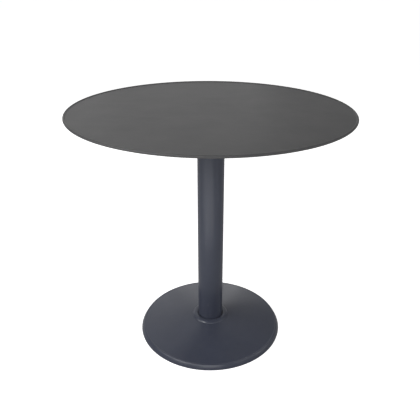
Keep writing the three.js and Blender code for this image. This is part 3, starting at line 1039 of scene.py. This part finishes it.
class BISTRO_OT_base_weight(bpy.types.Operator):
    """Makes the cast-iron weight with its pockets, seat and bosses for the feet"""

    bl_idname = "bistro.base_weight"
    bl_label = "Base weight"

    def execute(self, context):
        low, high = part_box("base_weight")
        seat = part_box("column_tube")[0].z - FIT
        plate_top = 17 * MM
        boss = 55 * MM
        fillet = 6 * MM
        seat_radius = 41.2 * MM
        hole = sizes().rod_hole_radius
        recess = sizes().rod_recess_radius
        recess_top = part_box("tie_rod_bottom_washer")[1].z + FIT
        pocket_inner = 80 * MM
        pocket_outer = 150 * MM
        pockets = 12
        facets = 12 * pockets
        boss_edge = high.z - (boss - seat_radius) * CONE_SLOPE
        rounded_edge = [(225.6 * MM, 8.8 * MM), (222.8 * MM, 11.7 * MM), (218.4 * MM, 13.1 * MM)]
        profile = [
            (hole, recess_top), (recess, recess_top), (recess, low.z),
            (pocket_inner, low.z), (pocket_outer, low.z), (high.x, low.z),
            *rounded_edge,
            *arc((boss + fillet, plate_top + fillet), fillet, -90, -180, 5),
            (boss, boss_edge), (seat_radius, high.z), (seat_radius, seat), (hole, seat),
        ]
        weight = turn("cast_weight", profile, facets)
        pitch = 2 * math.pi / pockets
        half_angle = math.radians(12.5)

        def in_pocket(place, face):
            radius = math.hypot(place.x, place.y)
            angle = (math.atan2(place.y, place.x) + pitch / 2) % pitch - pitch / 2
            under = abs(place.z - low.z) < WELD
            return under and pocket_inner < radius < pocket_outer and abs(angle) < half_angle

        choose(weight, "polygons", in_pocket)
        bpy.ops.mesh.inset(thickness=1.6 * MM, depth=-4.5 * MM, use_even_offset=True)
        bpy.ops.mesh.select_all(action="DESELECT")
        done()
        soften(weight, 0.7 * MM, segments=2, angle=28)
        foot_boss = 13 * MM
        boss_low = low.z + 4 * MM
        boss_top = 15.9 * MM
        boss_chamfer = 1 * MM
        stem_hole = 4.3 * MM
        spotface = 9.5 * MM
        spotface_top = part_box("foot_stem_1")[0].z + 7 * MM
        past = 2 * MM  # how far a drill runs past the casting
        boss_profile = [
            (foot_boss, boss_low), (foot_boss, boss_top - boss_chamfer),
            (foot_boss - boss_chamfer, boss_top),
        ]
        steps = (
            ("UNION", 48, boss_profile),
            ("DIFFERENCE", 32, [(stem_hole, low.z - past), (stem_hole, boss_top + past)]),
            ("DIFFERENCE", 48, [(spotface, low.z - past), (spotface, spotface_top)]),
        )
        for i in range(FEET):
            angle = BETWEEN_ARMS + 2 * math.pi * i / FEET
            for operation, sides, profile in steps:
                cut_at(weight, profile, sides, sizes().foot_circle, angle, operation)
        shade(weight)
        hand_over(weight, ["base_weight"], "cast_iron")
        return {"FINISHED"}


class BISTRO_OT_base_cover(bpy.types.Operator):
    """Makes the spun steel cover: shallow cone, groove, crest and rounded rim"""

    bl_idname = "bistro.base_cover"
    bl_label = "Base cover"

    def execute(self, context):
        low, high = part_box("base_cover")
        sheet = 1.5 * MM
        slope = math.degrees(math.atan(CONE_SLOPE))
        hole = 44.2 * MM
        hole_height = cone_height(hole)
        wall_foot = Vector((high.x, low.z))
        wall_head = Vector((224.3 * MM, 13.86 * MM))
        wall_radius = 60 * MM
        outward = Vector((wall_head.y - wall_foot.y, wall_foot.x - wall_head.x)).normalized()
        half = (wall_head - wall_foot).length / 2
        wall_depth = math.sqrt(wall_radius**2 - half**2)
        wall_centre = (wall_foot + wall_head) / 2 - outward * wall_depth
        lean = math.degrees(math.atan2(outward.y, outward.x))
        half_sweep = math.degrees(math.asin(half / wall_radius))
        wall_start, wall_end = lean - half_sweep, lean + half_sweep
        wall = arc(wall_centre, wall_radius, wall_start, wall_end, 10)
        crest_radius = 3.2 * MM
        turned = math.radians(wall_end)
        crest_end = 110
        crest_centre = wall_head - crest_radius * Vector((math.cos(turned), math.sin(turned)))
        crest = arc(crest_centre, crest_radius, wall_end, crest_end, 9)[1:]
        groove_radius = 0.8 * MM
        groove_start = -30
        groove_centre = (CONE_FOOT[0] + 0.9 * MM, CONE_FOOT[1] + 0.35 * MM)
        groove = arc(groove_centre, groove_radius, groove_start, -90 - slope, 6)
        outer = [*wall, *crest, *groove, (hole, hole_height)]
        under_groove = 1.7 * MM
        inner = [
            (hole, hole_height - sheet),
            (CONE_FOOT[0], CONE_FOOT[1] - under_groove),
            *arc(wall_centre, wall_radius - sheet, wall_end - 1, wall_start + 1.2, 10),
            (wall[0][0] - sheet, low.z),
        ]
        cover = turn("spun_cover", outer + inner, sizes().large_sides)
        soften(cover, 0.25 * MM, segments=2, angle=50)
        shade(cover, 40)
        hand_over(cover, ["base_cover"], "frame_paint")
        return {"FINISHED"}


class BISTRO_OT_collar(bpy.types.Operator):
    """Makes the collar round the column's foot and the rubber seal inside it"""

    bl_idname = "bistro.collar"
    bl_label = "Collar and seal"

    def execute(self, context):
        low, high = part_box("column_collar")
        clearance = 0.05 * MM
        inside = 41.6 * MM
        lip = 43.8 * MM
        foot = cone_height(high.x) + clearance
        shoulder = 52.6 * MM
        inner_edge = 2.2 * MM
        rounded_foot = [  # in from the outside, up from the cone, in millimetres
            (0.2, 0), (0, 0.3), (0, 0.7), (0.25, 1.2), (0.9, 1.9),
        ]
        rounded_shoulder = [  # out from the shoulder, down from the top, in millimetres
            (3.2, 2.6), (1.0, 0.95), (-0.9, 0.25), (-3.4, 0),
        ]
        profile = [
            (inside, low.z), (lip, low.z), (lip, cone_height(lip) + clearance),
            *[(high.x - inward * MM, foot + up * MM) for inward, up in rounded_foot],
            *[(shoulder + out * MM, high.z - down * MM) for out, down in rounded_shoulder],
            *arc((inside + inner_edge, high.z - inner_edge), inner_edge, 85, 180, 9),
        ]
        collar = turn("foot_collar", profile, COLUMN_SIDES)
        shade(collar, 40)
        hand_over(collar, ["column_collar"], "frame_paint")

        low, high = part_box("collar_gasket")
        tight = 40.05 * MM
        outside = inside - clearance
        crown = (outside - tight) / 2
        crown_centre = ((tight + outside) / 2, high.z - crown)
        profile = [(tight, low.z), (outside, low.z), *arc(crown_centre, crown, 0, 180, 10)]
        seal = turn("rubber_seal", profile, COLUMN_SIDES)
        shade(seal, 40)
        hand_over(seal, ["collar_gasket"], "gasket_rubber")
        return {"FINISHED"}


class BISTRO_OT_levelling_feet(bpy.types.Operator):
    """Makes the screw-in levelling feet, each a stem with a hexagon and a moulded pad"""

    bl_idname = "bistro.levelling_feet"
    bl_label = "Levelling feet"

    def pad(self, low, high):
        radius = (high.x - low.x) / 2
        socket = 5.3 * MM
        middle = socket * 0.5
        floor = 2 * MM
        upper_edge = 1.5 * MM
        lower_edge = 0.7 * MM
        groove = 0.4 * MM
        profile = [
            (middle, floor), (socket, floor), (socket, high.z),
            (radius - upper_edge, high.z), (radius, high.z - upper_edge),
            (radius, lower_edge), (radius - lower_edge, 0),
            (radius * 0.7, 0), (radius * 0.66, groove),
            (radius * 0.4, groove), (radius * 0.36, 0), (middle, 0),
        ]
        return turn("pad", profile, sizes().small_sides, closed=False)

    def stem(self, low, high, pad_high):
        hex_foot = pad_high + FIT
        hex_top = hex_foot + 3.2 * MM
        overlap = 0.5 * MM
        disc_radius = 5 * MM
        chamfer = 0.4 * MM
        profile = [
            (4.6 * MM, low.z), (disc_radius, low.z + chamfer), (disc_radius, hex_foot + overlap)
        ]
        disc = turn("disc", profile, 40, closed=False)
        hexagon = hex_prism("hexagon", 13 * MM, hex_foot, hex_top)
        soften(hexagon, 0.15 * MM, segments=1)
        thread = threaded_bar("thread", 3.9 * MM, 1.25 * MM, hex_top - overlap, high.z)
        return join([disc, hexagon, thread], "stem")

    def execute(self, context):
        pad_low, pad_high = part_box("foot_pad_1")
        stem_low, stem_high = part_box("foot_stem_1")
        pad = self.pad(pad_low, pad_high)
        soften(pad, 0.3 * MM)
        stem = self.stem(stem_low, stem_high, pad_high.z)
        rows = (
            (pad, "leveller_pad", "foot_pad", "foot_plastic"),
            (stem, "leveller_stem", "foot_stem", "zinc_steel"),
        )
        for piece, name, node, slot in rows:
            move_to(piece, sizes().foot_circle, 0)
            hand_over_round(piece, name, node, slot, FEET, BETWEEN_ARMS, own_bodies=True)
        return {"FINISHED"}


# ---------- stage ----------
class BISTRO_OT_studio(bpy.types.Operator):
    """Makes the pale floor, the soft lights and the camera"""

    bl_idname = "bistro.studio"
    bl_label = "Studio"

    def either(self, tree, share, first, second):
        """First shader where the share is none, and second where it is whole."""
        sockets = {0: share, 1: first, 2: second}
        return add_node(tree, "ShaderNodeMixShader", sockets).outputs["Shader"]

    def seen_or_not(self, tree, seen, unseen):
        """Shader that is one thing to the camera and another to the light that bounces."""
        camera = add_node(tree, "ShaderNodeLightPath").outputs["Is Camera Ray"]
        return self.either(tree, camera, unseen, seen)

    def glowing(self, tree, colour, glow):
        """Matt surface with a little light of its own."""
        matt = add_node(tree, "ShaderNodeBsdfDiffuse", {"Color": colour}).outputs["BSDF"]
        own = add_node(tree, "ShaderNodeEmission", {"Strength": glow}).outputs["Emission"]
        return add_node(tree, "ShaderNodeAddShader", {0: matt, 1: own}).outputs["Shader"]

    def floor(self):
        """Large pale floor that can be seen through from below."""
        deselect()
        bpy.ops.mesh.primitive_plane_add(size=120, location=(0, 0, 0))
        floor = bpy.context.object
        floor.name = "floor"
        material = bpy.data.materials.new("pale_floor")
        material.use_nodes = True
        tree = material.node_tree
        tree.nodes.clear()
        seen = self.glowing(tree, (0.8, 0.8, 0.8, 1), 0.86)
        unseen = self.glowing(tree, (0.5, 0.5, 0.5, 1), 0.06)
        above = self.seen_or_not(tree, seen, unseen)
        clear = add_node(tree, "ShaderNodeBsdfTransparent").outputs["BSDF"]
        back = add_node(tree, "ShaderNodeNewGeometry").outputs["Backfacing"]
        surface = self.either(tree, back, above, clear)
        add_node(tree, "ShaderNodeOutputMaterial", {"Surface": surface})
        floor.data.materials.append(material)

    def room(self):
        """Even light from all round, brighter to the camera so that the backdrop stays pale."""
        world = bpy.data.worlds.new("room")
        bpy.context.scene.world = world
        world.use_nodes = True
        tree = world.node_tree
        tree.nodes.clear()
        seen, fill = (
            add_node(
                tree, "ShaderNodeBackground", {"Color": (1, 1, 1, 1), "Strength": strength}
            ).outputs["Background"]
            for strength in (1.0, studio().room_light)
        )
        add_node(tree, "ShaderNodeOutputWorld", {"Surface": self.seen_or_not(tree, seen, fill)})

    def panel(self, name, place, target, size, brightness):
        """Soft light panel. Its brightness doesn't change with its size."""
        deselect()
        bpy.ops.object.light_add(type="AREA", location=place)
        light = bpy.context.object
        light.name = name
        light.data.shape = "RECTANGLE"
        light.data.size, light.data.size_y = size
        light.data.energy = math.pi * size[0] * size[1] * brightness * studio().light_level
        light.rotation_euler = (Vector(target) - Vector(place)).to_track_quat("-Z", "Y").to_euler()
        light.visible_camera = False

    def panels(self):
        middle = Vector((0, 0, 0.4))
        for name, around, up, distance, size, brightness in STANDING_PANELS:
            around, up = math.radians(around), math.radians(up)
            direction = Vector(
                (-math.sin(around) * math.cos(up), -math.cos(around) * math.cos(up), math.sin(up))
            )
            self.panel(name, middle + direction * distance, middle, size, brightness)
        for name, place, size, brightness in FLOOR_PANELS:
            height = 2 * MM
            self.panel(name, (*place, height), (*place, 1), (size, size), brightness)

    def camera(self):
        settings = studio()
        deselect()
        bpy.ops.object.camera_add(location=(0, -settings.camera_distance, settings.camera_height))
        camera = bpy.context.object
        turned = (
            Matrix.Rotation(-settings.camera_yaw, 3, "Z")
            @ Matrix.Rotation(math.pi / 2 - settings.camera_pitch, 3, "X")
            @ Matrix.Rotation(settings.camera_roll, 3, "Z")
        )
        camera.rotation_euler = turned.to_euler()
        camera.data.sensor_width = 36
        camera.data.lens = settings.camera_lens
        camera.data.shift_x = settings.camera_shift
        camera.data.clip_end = 200
        bpy.context.scene.camera = camera

    def execute(self, context):
        self.floor()
        self.room()
        self.panels()
        self.camera()
        context.scene.view_settings.view_transform = "Standard"
        return {"FINISHED"}


OPERATORS = (
    BISTRO_OT_studio,
    BISTRO_OT_tabletop,
    BISTRO_OT_stiffening,
    BISTRO_OT_spider,
    BISTRO_OT_stud_fixings,
    BISTRO_OT_column,
    BISTRO_OT_tie_rod,
    BISTRO_OT_base_weight,
    BISTRO_OT_base_cover,
    BISTRO_OT_collar,
    BISTRO_OT_levelling_feet,
)


class BISTRO_PT_workshop(bpy.types.Panel):
    """Sidebar panel that lists the pieces"""

    bl_idname = "BISTRO_PT_workshop"
    bl_label = "Bistro table"
    bl_space_type = "VIEW_3D"
    bl_region_type = "UI"
    bl_category = "Bistro Table"

    def draw(self, context):
        for operator in OPERATORS:
            self.layout.operator(operator.bl_idname)
        for settings in (sizes(), finishes(), studio()):
            column = self.layout.column()
            for name in settings.__annotations__:
                column.prop(settings, name)


CLASSES = (TableSizes, TableFinishes, StudioSettings, *OPERATORS, BISTRO_PT_workshop)


def register():
    for item in CLASSES:
        bpy.utils.register_class(item)
    bpy.types.Scene.bistro_sizes = PointerProperty(type=TableSizes)
    bpy.types.Scene.bistro_finishes = PointerProperty(type=TableFinishes)
    bpy.types.Scene.bistro_studio = PointerProperty(type=StudioSettings)


def unregister():
    del bpy.types.Scene.bistro_sizes
    del bpy.types.Scene.bistro_finishes
    del bpy.types.Scene.bistro_studio
    for item in reversed(CLASSES):
        bpy.utils.unregister_class(item)


def main():
    register()
    for operator in OPERATORS:
        group, name = operator.bl_idname.split(".")
        getattr(getattr(bpy.ops, group), name)()
    deselect()


if __name__ == "__main__":
    main()
